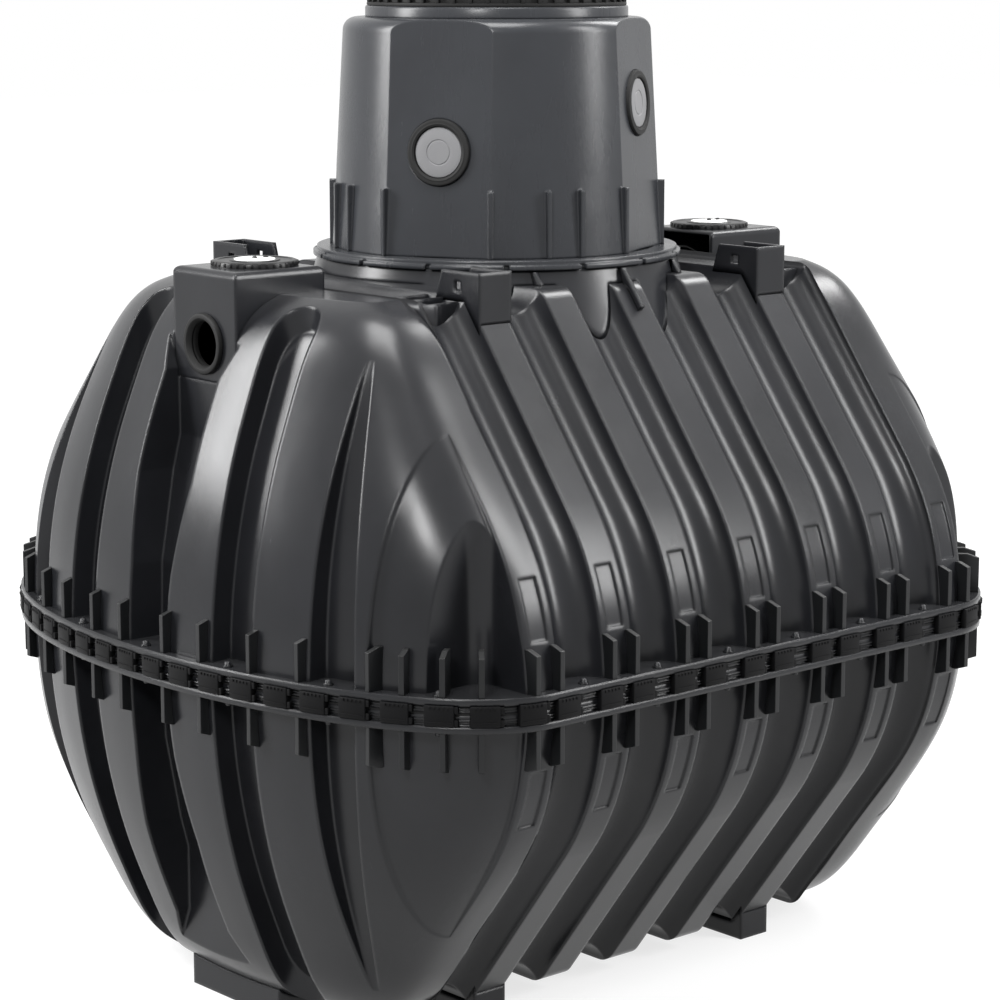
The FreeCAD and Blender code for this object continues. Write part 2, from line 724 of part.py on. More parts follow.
# Base ring of the dome: two steps, with notches round the lower one.
ring_half = "dims.base_ring_height / 2"
base_ring_blank = fuse("base_ring_blank", [
    cylinder("base_ring_low", "dims.base_ring_radius", ring_half, "0", "0", "dims.neck_top_height"),
    cylinder("base_ring_high", "dims.base_ring_radius - dims.base_ring_step", "dims.base_ring_height",
             "0", "0", "dims.neck_top_height")])
base_ring_cutters = [cylinder("base_ring_hole", "dims.base_ring_inner", "dims.base_ring_height", "0", "0",
                              "dims.neck_top_height")]
for n in range(int(size("ring_notch_count"))):
    width = size("ring_notch_width")
    shape = Part.makeBox(40.0, width, 0.5 * size("base_ring_height"),
                         FreeCAD.Vector(size("base_ring_radius") - width, -0.5 * width, 0.0))
    turn = size("ring_notch_start") + 360.0 * n / size("ring_notch_count")
    base_ring_cutters.append(feature("ring_notch_%d" % (n + 1),
                                     turned(shape, 0.0, 0.0, size("neck_top_height"), turn)))
dome_base_ring = cut("dome_base_ring", base_ring_blank, group("base_ring_cutters", base_ring_cutters))

dome_foot = size("neck_top_height") + size("base_ring_height")
dome_lean = math.atan((size("dome_foot_radius") - size("dome_top_radius"))
                      / (size("dome_top_height") - dome_foot))
flat_reach = math.sqrt(size("dome_foot_radius") ** 2 - size("dome_flat_half_width") ** 2)


# Tapered round dome with a rounded shoulder and four flats.
def dome_body(name, inset):
    foot = "dims.neck_top_height + dims.base_ring_height"
    body = cone(name + "_cone", "dims.dome_foot_radius - %g" % inset, "dims.dome_top_radius - %g" % inset,
                "dims.dome_top_height - %g - (%s)" % (inset, foot), foot)
    doc.recompute()
    top = size("dome_top_height") - inset
    rounded = doc.addObject("Part::Fillet", name + "_round")
    rounded.Base = body
    radius = size("dome_shoulder") - inset
    rounded.Edges = [(n + 1, radius, radius) for n, e in enumerate(body.Shape.Edges)
                     if abs(e.BoundBox.ZMin - top) < 0.01]
    flats = []
    for k in range(4):
        shape = Part.makeBox(200.0, 800.0, 900.0, FreeCAD.Vector(0.0, -400.0, -100.0))
        shape.rotate(FreeCAD.Vector(), FreeCAD.Vector(0, 1, 0), -math.degrees(dome_lean))
        shape.translate(FreeCAD.Vector(flat_reach - inset, 0.0, dome_foot))
        flats.append(feature("%s_flat_%d" % (name, k + 1),
                             turned(shape, 0.0, 0.0, 0.0, size("dome_turn") + 90.0 * k)))
    for k, flat in enumerate(flats):
        rounded = cut("%s_faced_%d" % (name, k + 1), rounded, flat)
    return rounded


dome_outer = dome_body("dome_outer", 0.0)
dome_inner = dome_body("dome_inner", size("dome_wall"))
dome_ribs = []
for k in range(4):
    for n, offset in enumerate((-39.0, -19.5, 19.5, 39.0)):
        width = size("dome_rib_width")
        start = size("dome_foot_radius") + size("dome_rib_proud") - 50.0
        shape = Part.makeBox(50.0, width, size("dome_rib_height"), FreeCAD.Vector(start, -0.5 * width, 0.0))
        dome_ribs.append(feature("dome_rib_%d_%d" % (k + 1, n + 1),
                                 turned(shape, 0.0, 0.0, dome_foot, size("dome_turn") + 90.0 * k + offset)))


# Round plugs square to the dome's flats, two low and two high.
def ports(name, start, length, radius):
    pieces = []
    for k in range(4):
        height = size("port_low_height") if k % 2 == 0 else size("port_high_height")
        at = flat_reach - (height - dome_foot) * math.tan(dome_lean)
        turn = math.radians(size("dome_turn") + 90.0 * k)
        level = FreeCAD.Vector(math.cos(turn), math.sin(turn), 0.0)
        out = level * math.cos(dome_lean) + UP * math.sin(dome_lean)
        foot = level * at + UP * height + out * start
        pieces.append(feature("%s_%d" % (name, k + 1), Part.makeCylinder(radius, length, foot, out)))
    return group(name, pieces)


dome_wall = size("dome_wall")
dome_full = fuse("dome_full", [dome_outer] + dome_ribs)
dome_hollow = cut("dome_hollow", dome_full, dome_inner)
dome_mouth = cylinder("dome_mouth", "dims.collar_inner", "100", "0", "0", "dims.dome_top_height - 50")
dome_open = cut("dome_open", dome_hollow, dome_mouth)
dome = cut("dome", dome_open, ports("port_holes", -60.0, 120.0, size("port_ring_radius")))
dome_port_seals = cut("dome_port_seals", ports("seal_discs", -dome_wall, dome_wall + size("port_ring_proud"),
                                               size("port_ring_radius")),
                      ports("seal_holes", -60.0, 120.0, size("port_disc_radius")))
dome_port_plugs = ports("dome_port_plugs", -dome_wall, dome_wall + size("port_disc_proud"),
                        size("port_disc_radius"))


def tube(name, radius, inner, height, z):
    return cut(name, cylinder(name + "_outside", radius, height, "0", "0", z),
               cylinder(name + "_inside", inner, height, "0", "0", z))


dome_collar = tube("dome_collar", "dims.collar_radius", "dims.collar_inner",
                   "dims.collar_top - dims.dome_top_height", "dims.dome_top_height")
notches = []
for n in range(int(size("tooth_count"))):
    shape = Part.makeBox(20.0, 30.0, 0.5 * size("tooth_ring_height"),
                         FreeCAD.Vector(size("tooth_ring_radius") - 8.0, -15.0, 0.0))
    notches.append(feature("tooth_gap_%d" % (n + 1),
                           turned(shape, 0.0, 0.0, size("collar_top"), 360.0 * n / size("tooth_count"))))
tooth_tube = tube("tooth_tube", "dims.tooth_ring_radius", "dims.shaft_radius", "dims.tooth_ring_height",
                  "dims.collar_top")
shaft_seal_ring = cut("shaft_seal_ring", tooth_tube, group("tooth_gaps", notches))
telescopic_shaft = tube("telescopic_shaft", "dims.shaft_radius", "dims.shaft_inner",
                        "dims.shaft_top - dims.dome_top_height", "dims.dome_top_height")
cover_lid = cylinder("cover_lid", "dims.lid_radius", "dims.lid_height", "0", "0", "dims.shaft_top")

# Inlet housings with their pipe seals and caps.
doc.recompute()
housing_rounded = doc.addObject("Part::Fillet", "housing_rounded")
housing_rounded.Base = housing_blank
housing_rounded.Edges = [(n + 1, size("housing_round"), size("housing_round"))
                         for n, e in enumerate(housing_blank.Shape.Edges)
                         if abs(e.BoundBox.ZMin - size("housing_top")) < 0.01]
housing_hollow = box("housing_hollow", "dims.housing_front - dims.housing_back - dims.housing_wall + 100",
                     "2 * (dims.housing_half_width - dims.housing_wall)",
                     "dims.housing_top - dims.housing_bottom - dims.housing_wall + 100",
                     "dims.housing_back - 100", "dims.housing_wall - dims.housing_half_width",
                     "dims.housing_bottom - 100")
ALONG = FreeCAD.Vector(1, 0, 0)
inlet_hole = cylinder("inlet_hole", "dims.seal_body_radius", "100", "dims.housing_front - 50", "0",
                      "dims.inlet_height", ALONG)
housing_open = cut("housing_open", cut("housing_shell", housing_rounded, housing_hollow), inlet_hole)
inlet_housing_right = cut("inlet_housing_right", housing_open, upper_hollow)
inlet_housing_left = other_end("inlet_housing_left", inlet_housing_right)
seal_rim = cylinder("seal_rim", "dims.seal_radius", "dims.seal_proud", "dims.housing_front", "0",
                    "dims.inlet_height", ALONG)
seal_sleeve = cylinder("seal_sleeve", "dims.seal_body_radius", "dims.seal_back",
                       "dims.housing_front - dims.seal_back", "0", "dims.inlet_height", ALONG)
seal_bore = cylinder("seal_bore", "dims.inlet_radius", "dims.seal_back + dims.seal_proud",
                     "dims.housing_front - dims.seal_back", "0", "dims.inlet_height", ALONG)
inlet_seal_right = cut("inlet_seal_right", fuse("seal_body", [seal_rim, seal_sleeve]), seal_bore)
inlet_seal_left = other_end("inlet_seal_left", inlet_seal_right)
inspection_cap_right = cylinder("inspection_cap_right", "dims.cap_radius", "dims.cap_height",
                                "dims.cap_offset", "0", "dims.housing_top")
inspection_cap_left = other_end("inspection_cap_left", inspection_cap_right)
cap_disc_right = cylinder("cap_disc_right", "dims.disc_radius", "dims.disc_height", "dims.cap_offset", "0",
                          "dims.housing_top + dims.cap_height")
cap_disc_left = other_end("cap_disc_left", cap_disc_right)

# Lifting lugs on the outer hoop ribs: two plates and an outer web, open above and towards the dome.
lug_x = 2.0 * size("rib_pitch") - 0.5 * size("lug_width")
lug_blank = prism("lug_blank", [(lug_x, size("lug_outer"), size("lug_foot")),
                                (lug_x, size("lug_inner_foot"), size("lug_foot")),
                                (lug_x, size("lug_inner_foot"), size("lug_slope_height")),
                                (lug_x, size("lug_inner_top"), size("lug_top")),
                                (lug_x, size("lug_outer"), size("lug_top"))], ALONG, "dims.lug_width")
lug_pocket = box("lug_pocket", "dims.lug_width - 2 * dims.lug_wall", "300", "400",
                 "2 * dims.rib_pitch - dims.lug_width / 2 + dims.lug_wall",
                 "dims.lug_outer - dims.lug_wall - 300", "dims.lug_foot")
lug_hole = box("lug_hole", "200", "dims.lug_hole_width", "dims.lug_hole_height",
               "2 * dims.rib_pitch - 100", "dims.lug_hole_y - dims.lug_hole_width / 2",
               "dims.lug_hole_z - dims.lug_hole_height / 2")
lug_bored = cut("lug_bored", cut("lug_open", lug_blank, lug_pocket), lug_hole)
lug_seated = cut("lug_seated", lug_bored, barrel_outer)
lug_right = cut("lug_right", lug_seated, neck_outside)
lifting_lugs_back = group("lifting_lugs_back", [lug_right, other_end("lug_left", lug_right)])
lifting_lugs_front = other_side("lifting_lugs_front", lifting_lugs_back)

# Feet under the outer hoop ribs and under both ends.
side_foot = box("side_foot", "dims.side_foot_width", "dims.side_foot_outer - dims.side_foot_inner",
                "dims.foot_height", "2 * dims.rib_pitch - dims.side_foot_width / 2",
                "dims.side_foot_inner", "0")
side_foot_right = cut("side_foot_right", side_foot, below("lower_barrel_body", barrel_outer))
side_feet_back = group("side_feet_back", [side_foot_right, other_end("side_foot_left", side_foot_right)])
side_feet_front = other_side("side_feet_front", side_feet_back)
end_foot = box("end_foot", "dims.end_foot_far - dims.end_foot_near", "2 * dims.end_foot_half_width",
               "dims.foot_height", "dims.end_foot_near", "-dims.end_foot_half_width", "0")
end_foot_right = cut("end_foot_right", end_foot, below("lower_fan_body", lower_fan))
end_foot_left = other_end("end_foot_left", end_foot_right)

NODES = [
    upper_barrel, upper_end_left, upper_end_right, lower_barrel, lower_end_left, lower_end_right,
    upper_flange, lower_flange, flange_seal,
    upper_fins_front, upper_fins_back, upper_fins_left, upper_fins_right,
    lower_fins_front, lower_fins_back, lower_fins_left, lower_fins_right,
    clips_front, clips_back, clips_left, clips_right,
    neck_collar, neck_gussets,
    dome_base_ring, dome, dome_port_seals, dome_port_plugs, dome_collar,
    shaft_seal_ring, telescopic_shaft, cover_lid,
    inlet_housing_left, inlet_housing_right, inlet_seal_left, inlet_seal_right,
    inspection_cap_left, inspection_cap_right, cap_disc_left, cap_disc_right,
    lifting_lugs_front, lifting_lugs_back,
    side_feet_front, side_feet_back, end_foot_left, end_foot_right,
]

doc.recompute()
for obj in doc.Objects:
    if "Invalid" in obj.State or "Error" in obj.State:
        raise RuntimeError("not built: %s %s" % (obj.Label, obj.State))
os.makedirs("parts", exist_ok=True)
for obj in NODES:
    if obj.Shape.isNull() or not obj.Shape.isValid():
        raise RuntimeError("not a sound shape: " + obj.Label)
    obj.Shape.exportStep("parts/%s.step" % obj.Label)
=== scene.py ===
import json
import math

import bmesh
import bpy
from mathutils import Matrix, Vector


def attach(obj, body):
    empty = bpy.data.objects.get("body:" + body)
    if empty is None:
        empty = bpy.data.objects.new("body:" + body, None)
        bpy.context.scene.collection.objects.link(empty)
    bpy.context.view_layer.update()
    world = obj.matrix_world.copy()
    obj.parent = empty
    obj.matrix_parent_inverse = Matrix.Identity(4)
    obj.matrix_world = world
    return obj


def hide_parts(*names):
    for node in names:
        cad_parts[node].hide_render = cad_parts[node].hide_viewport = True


# Looks of a buried holding tank: satin anthracite polyethylene half shells, black clips and rubber
# seals, on a white studio floor. Metres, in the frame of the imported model.

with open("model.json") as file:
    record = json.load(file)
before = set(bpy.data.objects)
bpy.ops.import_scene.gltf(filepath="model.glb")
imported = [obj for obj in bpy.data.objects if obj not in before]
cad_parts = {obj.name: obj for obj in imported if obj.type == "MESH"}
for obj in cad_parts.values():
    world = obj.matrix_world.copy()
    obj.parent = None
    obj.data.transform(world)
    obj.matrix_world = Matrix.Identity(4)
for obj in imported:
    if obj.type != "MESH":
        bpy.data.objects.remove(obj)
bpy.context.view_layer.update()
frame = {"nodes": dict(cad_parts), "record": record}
nodes = frame["nodes"]
scene = bpy.context.scene

# Camera: place, turn and lens at the photograph's viewing angle
CAMERA_PLACE = Vector((-5.0187, -5.7354, 2.5782))
CAMERA_YAW = math.radians(-41.25)
CAMERA_PITCH = math.radians(-10.49)
CAMERA_LENS = 106.6
CAMERA_SENSOR = 36.0
CAMERA_REACH = 200.0

# Sizes shared with the solids
MID = 0.910
STRAIGHT_HALF = 0.700
FLANGE_HALF_LENGTH = 1.137
FLANGE_HALF_WIDTH = 0.988
FLANGE_HEIGHT = 0.040
FLANGE_RECESS = 0.014
RIB_PITCH = 0.233
CHANNEL_MIDDLES = [(k + 0.5) * RIB_PITCH for k in range(-3, 3)]
INLET_FACE = 0.925
INLET_HEIGHT = 1.659
CAP_OFFSET = 0.774
HOUSING_TOP = 1.837
CAP_HEIGHT = 0.014
DOME_TOP = 2.417
SHAFT_TOP = 2.540
DOME_TAPER = 0.0325
DOME_RISE = 0.577
DOME_LEAN = math.atan(DOME_TAPER / DOME_RISE)

# Counts and spacings of repeated detail
CLIP_TOOTH_COUNT = 5
CLIP_TOOTH_PITCH = 0.0105
CLIP_TAB_PLACE = 0.0385
CLIP_TAB_HEIGHTS = (-0.015, 0.015)
CLIP_BAR_HEIGHT = -0.014
RIDGE_HEIGHTS = (0.0165, 0.0095, -0.0110, -0.0175)
RIDGE_STEPS = 96
STUD_INSET = 0.024
END_STUD_OFFSETS = (0.0, 0.305, -0.305, 0.600, -0.600, 0.850, -0.850)
CAP_GRIP_COUNT = 36
CAP_SCREW_OFFSETS = (0.0, 0.033)
CAP_SCREW_SINK = 0.0022
PORT_SINK = 0.0005
RING_TOOTH_COUNT = 48
TREAD_COUNT = 24
WEB_PLACES = ((0.335, 1.776), (0.392, 1.774), (0.449, 1.768))
WEB_FOOT = 1.712
WEB_HALF_LENGTH = 0.070
WEB_HALF_WIDTH = 0.0045
SPINE_TOP = 1.764
SPINE_MIDDLE = 0.392
SPINE_HALF_LENGTH = 0.061
SPINE_HALF_WIDTH = 0.005
WEB_BEVEL = 0.002

# Radius that counts as on the axis, and distance at which points are one
ON_AXIS = 1e-6
WELD = 1e-5

# Steps round turned shapes
SMALL_STEPS = 20
DISC_STEPS = 64
FITTING_STEPS = 72
DOME_STEPS = 96

# Colours, in linear light
ANTHRACITE = (0.015, 0.0155, 0.018)
ANTHRACITE_DARK = (0.009, 0.0095, 0.011)
DOME_GREY = (0.029, 0.031, 0.035)
DOME_GREY_DARK = (0.020, 0.021, 0.024)
FIN_BLACK = (0.009, 0.0095, 0.0105)
FIN_BLACK_DARK = (0.0055, 0.006, 0.0065)
CLIP_BLACK = (0.0045, 0.0045, 0.005)
CLIP_BLACK_DARK = (0.0028, 0.0028, 0.003)
RUBBER = (0.008, 0.008, 0.008)
RUBBER_DARK = (0.004, 0.004, 0.004)
PLUG_GREY = (0.19, 0.19, 0.195)
PLUG_GREY_DARK = (0.15, 0.15, 0.155)
DISC_WHITE = (0.82, 0.82, 0.81)
DISC_WHITE_DARK = (0.70, 0.70, 0.69)
DUST = (0.05, 0.049, 0.046)
WHITE = (1.0, 1.0, 1.0)
FLOOR_GREY = (0.28, 0.28, 0.28)

# Half the spread of roughness in the flow streaks
GLOSS_SPREAD = 0.06

# Floor: half its width, the distances between which its glow rises to white, and the glow at the tank
FLOOR_HALF = 40.0
FLOOR_FADE_START = 1.5
FLOOR_FADE_END = 6.0
FLOOR_GLOW_NEAR = 0.76

# Light of the world on the object, and the point that the lamps face
WORLD_FILL = 0.20
LIGHT_AIM = Vector((0.0, 0.0, 1.2))

# Area lights: name, degrees round from the camera, degrees up, distance, width, height, watts
LIGHTS = (
    ("left_strip", -84.0, 28.0, 6.0, 1.4, 4.0, 460.0),
    ("right_strip", 74.0, 30.0, 6.0, 1.2, 4.0, 340.0),
    ("front_box", -16.0, 31.0, 6.5, 0.9, 1.3, 170.0),
    ("right_back", 125.0, 48.0, 6.0, 1.5, 2.5, 200.0),
    ("top_box", -10.0, 75.0, 5.5, 2.6, 2.6, 330.0),
)


def add_node(tree, kind, **values):
    node = tree.nodes.new(kind)
    for key, value in values.items():
        if key in node.inputs:
            node.inputs[key].default_value = value
        else:
            setattr(node, key, value)
    return node


# Moulded plastic or rubber: two close shades in soft clouds, a little dust on what faces up, faint
# flow streaks in the gloss and a fine moulded grain.
def moulded(name, light, dark, roughness, edge, shine=0.28, grain=0.00025, dust=0.25):
    material = bpy.data.materials.new(name)
    material.use_nodes = True
    tree = material.node_tree
    shader = tree.nodes["Principled BSDF"]
    shader.inputs["Specular IOR Level"].default_value = shine
    place = add_node(tree, "ShaderNodeTexCoord").outputs["Object"]

    clouds = add_node(tree, "ShaderNodeTexNoise", Scale=2.2, Detail=6.0, Roughness=0.6)
    tree.links.new(place, clouds.inputs["Vector"])
    shades = add_node(tree, "ShaderNodeValToRGB")
    shades.color_ramp.elements[0].position = 0.32
    shades.color_ramp.elements[0].color = (*dark, 1.0)
    shades.color_ramp.elements[1].position = 0.68
    shades.color_ramp.elements[1].color = (*light, 1.0)
    tree.links.new(clouds.outputs["Fac"], shades.inputs["Fac"])

    facing = add_node(tree, "ShaderNodeSeparateXYZ")
    tree.links.new(add_node(tree, "ShaderNodeNewGeometry").outputs["Normal"], facing.inputs["Vector"])
    upward = add_node(tree, "ShaderNodeMapRange")
    upward.inputs["From Min"].default_value = 0.35
    upward.inputs["From Max"].default_value = 1.0
    upward.inputs["To Max"].default_value = dust
    tree.links.new(facing.outputs["Z"], upward.inputs["Value"])
    specks = add_node(tree, "ShaderNodeTexNoise", Scale=14.0, Detail=8.0, Roughness=0.7)
    tree.links.new(place, specks.inputs["Vector"])
    dusting = add_node(tree, "ShaderNodeMath", operation="MULTIPLY")
    tree.links.new(upward.outputs["Result"], dusting.inputs[0])
    tree.links.new(specks.outputs["Fac"], dusting.inputs[1])
    dusty = add_node(tree, "ShaderNodeMix", data_type="RGBA")
    tree.links.new(dusting.outputs["Value"], dusty.inputs["Factor"])
    tree.links.new(shades.outputs["Color"], dusty.inputs["A"])
    dusty.inputs["B"].default_value = (*DUST, 1.0)
    tree.links.new(dusty.outputs["Result"], shader.inputs["Base Color"])

    stretch = add_node(tree, "ShaderNodeMapping", Scale=(9.0, 9.0, 1.6))
    tree.links.new(place, stretch.inputs["Vector"])
    streaks = add_node(tree, "ShaderNodeTexNoise", Scale=1.0, Detail=7.0, Roughness=0.65)
    tree.links.new(stretch.outputs["Vector"], streaks.inputs["Vector"])
    gloss = add_node(tree, "ShaderNodeMapRange")
    gloss.inputs["To Min"].default_value = roughness - GLOSS_SPREAD
    gloss.inputs["To Max"].default_value = roughness + GLOSS_SPREAD
    tree.links.new(streaks.outputs["Fac"], gloss.inputs["Value"])
    tree.links.new(gloss.outputs["Result"], shader.inputs["Roughness"])

    pores = add_node(tree, "ShaderNodeTexNoise", Scale=420.0, Detail=3.0)
    tree.links.new(place, pores.inputs["Vector"])
    bump = add_node(tree, "ShaderNodeBump", Strength=0.5, Distance=grain)
    tree.links.new(pores.outputs["Fac"], bump.inputs["Height"])
    if edge:
        rounding = add_node(tree, "ShaderNodeBevel", Radius=edge, samples=8)
        tree.links.new(rounding.outputs["Normal"], bump.inputs["Normal"])
    tree.links.new(bump.outputs["Normal"], shader.inputs["Normal"])
    return material


MATERIALS = {
    "shell": moulded("shell_plastic", ANTHRACITE, ANTHRACITE_DARK, 0.25, 0.012),
    "dome": moulded("dome_plastic", DOME_GREY, DOME_GREY_DARK, 0.27, 0.008),
    "fin": moulded("fin_plastic", FIN_BLACK, FIN_BLACK_DARK, 0.40, 0.003),
    "clip": moulded("clip_plastic", CLIP_BLACK, CLIP_BLACK_DARK, 0.55, 0.0, shine=0.1, dust=0.05),
    "seal": moulded("seal_rubber", RUBBER, RUBBER_DARK, 0.60, 0.0, shine=0.2, dust=0.1),
    "plug": moulded("plug_plastic", PLUG_GREY, PLUG_GREY_DARK, 0.45, 0.0, dust=0.0),
    "cap": moulded("cap_plastic", CLIP_BLACK, CLIP_BLACK_DARK, 0.36, 0.0, dust=0.1),
    "cap_disc": moulded("disc_plastic", DISC_WHITE, DISC_WHITE_DARK, 0.45, 0.0, dust=0.0),
    "cover": moulded("cover_plastic", FIN_BLACK, FIN_BLACK_DARK, 0.45, 0.003),
}

for row in frame["record"]["subparts"]:
    node = nodes[row["node"]]
    node.data.materials.clear()
    node.data.materials.append(MATERIALS[row["material_slot"]])


# Meshes are built as lists of points and faces; a stamp is such a mesh with the place it is set at.
def block(low, high, bevel):
    mesh = bmesh.new()
    bmesh.ops.create_cube(mesh, size=1.0)
    middle = (Vector(low) + Vector(high)) / 2.0
    span = Vector(high) - Vector(low)
    mesh.transform(Matrix.Translation(middle) @ Matrix.Diagonal((*span, 1.0)))
    bmesh.ops.bevel(mesh, geom=list(mesh.edges), offset=bevel, segments=2, profile=0.5, affect="EDGES")
    mesh.verts.index_update()
    points = [v.co.copy() for v in mesh.verts]
    faces = [[v.index for v in f.verts] for f in mesh.faces]
    mesh.free()
    return points, faces


# Turned shape about Z from a profile of (radius, height), closed on itself or, where it starts and
# ends on the axis, closed by its poles.
def lathe(profile, steps):
    points = []
    rings = []
    for radius, height in profile:
        if radius < ON_AXIS:
            rings.append([len(points)] * steps)
            points.append(Vector((0.0, 0.0, height)))
        else:
            rings.append(list(range(len(points), len(points) + steps)))
            for k in range(steps):
                turn = 2.0 * math.pi * k / steps
                points.append(Vector((radius * math.cos(turn), radius * math.sin(turn), height)))
    pairs = list(zip(rings, rings[1:]))
    if profile[0][0] > ON_AXIS:
        pairs.append((rings[-1], rings[0]))
    faces = []
    for one, two in pairs:
        for k in range(steps):
            corners = [one[k], one[(k + 1) % steps], two[(k + 1) % steps], two[k]]
            faces.append([c for n, c in enumerate(corners) if c not in corners[:n]])
    return points, faces


def merged(stamps):
    points = []
    faces = []
    for (some_points, some_faces), place in stamps:
        base = len(points)
        points += [place @ p for p in some_points]
        faces += [[base + n for n in face] for face in some_faces]
    return points, faces


def add_piece(name, stamps, slot, *replaced, sharp=35.0):
    points, faces = merged(stamps)
    mesh = bpy.data.meshes.new(name)
    mesh.from_pydata(points, [], faces)
    build = bmesh.new()
    build.from_mesh(mesh)
    bmesh.ops.recalc_face_normals(build, faces=build.faces)
    build.to_mesh(mesh)
    build.free()
    mesh.materials.append(MATERIALS[slot])
    mesh.shade_smooth()
    mesh.set_sharp_from_angle(angle=math.radians(sharp))
    piece = bpy.data.objects.new(name, mesh)
    scene.collection.objects.link(piece)
    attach(piece, "root")
    if replaced:
        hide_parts(*replaced)


# Middles of the separate solids of a CAD node.
def middles(node_name):
    node = nodes[node_name]
    mesh = bmesh.new()
    mesh.from_mesh(node.data)
    mesh.transform(node.matrix_world)
    bmesh.ops.remove_doubles(mesh, verts=mesh.verts, dist=WELD)
    left = set(mesh.verts)
    found = []
    while left:
        stack = [left.pop()]
        island = []
        while stack:
            vertex = stack.pop()
            island.append(vertex.co.copy())
            for edge in vertex.link_edges:
                other = edge.other_vert(vertex)
                if other in left:
                    left.remove(other)
                    stack.append(other)
        low = Vector([min(p[k] for p in island) for k in range(3)])
        high = Vector([max(p[k] for p in island) for k in range(3)])
        found.append((low + high) / 2.0)
    mesh.free()
    return sorted(found, key=lambda p: (round(p.x, 4), round(p.y, 4), round(p.z, 4)))


# Axes set at a place: X outwards, Y along the rim, Z up.
def outward(place, direction):
    x = direction.normalized()
    z = Vector((0.0, 0.0, 1.0))
    y = z.cross(x)
    return Matrix.Translation(place) @ Matrix((x, y, z)).transposed().to_4x4()


# Nearest point of the flange's rim to a place, with its outward direction.
def rim(place):
    if abs(place.x) <= STRAIGHT_HALF:
        side = math.copysign(1.0, place.y)
        return Vector((place.x, side * FLANGE_HALF_WIDTH, MID)), Vector((0.0, side, 0.0))
    end = math.copysign(1.0, place.x)
    long = FLANGE_HALF_LENGTH - STRAIGHT_HALF
    turn = math.atan2(place.y / FLANGE_HALF_WIDTH, (abs(place.x) - STRAIGHT_HALF) / long)
    at = Vector((end * (STRAIGHT_HALF + long * math.cos(turn)), FLANGE_HALF_WIDTH * math.sin(turn), MID))
    way = Vector((end * math.cos(turn) / long, math.sin(turn) / FLANGE_HALF_WIDTH, 0.0))
    return at, way.normalized()


# Clips: bevelled blocks with a toothed upper edge, a raised bar and two locking tabs at one end.
def make_clips():
    body = block((-0.0135, -0.0345, -0.0243), (0.0030, 0.0345, 0.0243), 0.0035)
    tooth = block((-0.002, -0.0022, 0.0165), (0.0052, 0.0022, 0.0222), 0.0007)
    tab = block((-0.0130, -0.0045, -0.0075), (0.0005, 0.0045, 0.0075), 0.0012)
    bar = block((-0.002, -0.029, -0.0015), (0.0042, 0.029, 0.0015), 0.0007)
    for side in ("front", "back", "left", "right"):
        stamps = []
        for middle in middles("clips_" + side):
            place = outward(*rim(middle))
            stamps.append((body, place))
            stamps.append((bar, place @ Matrix.Translation((0.0, 0.0, CLIP_BAR_HEIGHT))))
            for k in range(CLIP_TOOTH_COUNT):
                along = CLIP_TOOTH_PITCH * (k - CLIP_TOOTH_COUNT // 2)
                stamps.append((tooth, place @ Matrix.Translation((0.0, along, 0.0))))
            for height in CLIP_TAB_HEIGHTS:
                stamps.append((tab, place @ Matrix.Translation((0.0, CLIP_TAB_PLACE, height))))
        add_piece("clip_row_" + side, stamps, "clip", "clips_" + side)


# Thin ridges round the flange edge, seen between the clips.
def make_edge_ridges():
    long = FLANGE_HALF_LENGTH - STRAIGHT_HALF
    trail = []
    for end in (1.0, -1.0):
        for k in range(RIDGE_STEPS + 1):
            turn = math.pi * (k / RIDGE_STEPS - 0.5)
            x = STRAIGHT_HALF + long * math.cos(turn)
            y = FLANGE_HALF_WIDTH * math.sin(turn)
            at, way = rim(Vector((end * x, end * y, MID)))
            trail.append((at - way * FLANGE_RECESS, way))
    section = [(-0.001, -0.0022), (0.0045, -0.0014), (0.0055, 0.0), (0.0045, 0.0014), (-0.001, 0.0022)]
    stamps = []
    for height in RIDGE_HEIGHTS:
        points = []
        for at, way in trail:
            points += [at + way * out + Vector((0.0, 0.0, height + rise)) for out, rise in section]
        faces = []
        sides = len(section)
        for k in range(len(trail)):
            here = sides * k
            ahead = sides * ((k + 1) % len(trail))
            for n in range(sides):
                m = (n + 1) % sides
                faces.append([here + n, ahead + n, ahead + m, here + m])
        stamps.append(((points, faces), Matrix()))
    add_piece("flange_ridges", stamps, "shell", sharp=60.0)


# Locating studs on both flanges: in every channel, groove and trough, and near each corner.
def make_studs():
    stud = lathe([(0.0, 0.013), (0.005, 0.0128), (0.0075, 0.011), (0.0085, 0.008), (0.0085, 0.004),
                  (0.0125, 0.003), (0.0125, -0.001), (0.0, -0.001)], SMALL_STEPS)
    spots = []
    for side in (-1.0, 1.0):
        for x in CHANNEL_MIDDLES:
            spots.append(Vector((x, side * FLANGE_HALF_WIDTH, MID)))
        for y in END_STUD_OFFSETS:
            reach = math.sqrt(1.0 - (y / FLANGE_HALF_WIDTH) ** 2)
            x = STRAIGHT_HALF + (FLANGE_HALF_LENGTH - STRAIGHT_HALF) * reach
            spots.append(Vector((side * x, y, MID)))
    for name, way in (("upper", 1.0), ("lower", -1.0)):
        stamps = []
        for spot in spots:
            at, direction = rim(spot)
            place = at - direction * STUD_INSET + Vector((0.0, 0.0, way * FLANGE_HEIGHT))
            flip = Matrix.Identity(4) if way > 0 else Matrix.Rotation(math.pi, 4, "X")
            stamps.append((stud, Matrix.Translation(place) @ flip))
        add_piece(name + "_flange_studs", stamps, "shell")


# A mesh repeated round an upright axis.
def around(mesh, count, place):
    return [(mesh, place @ Matrix.Rotation(2.0 * math.pi * k / count, 4, "Z")) for k in range(count)]


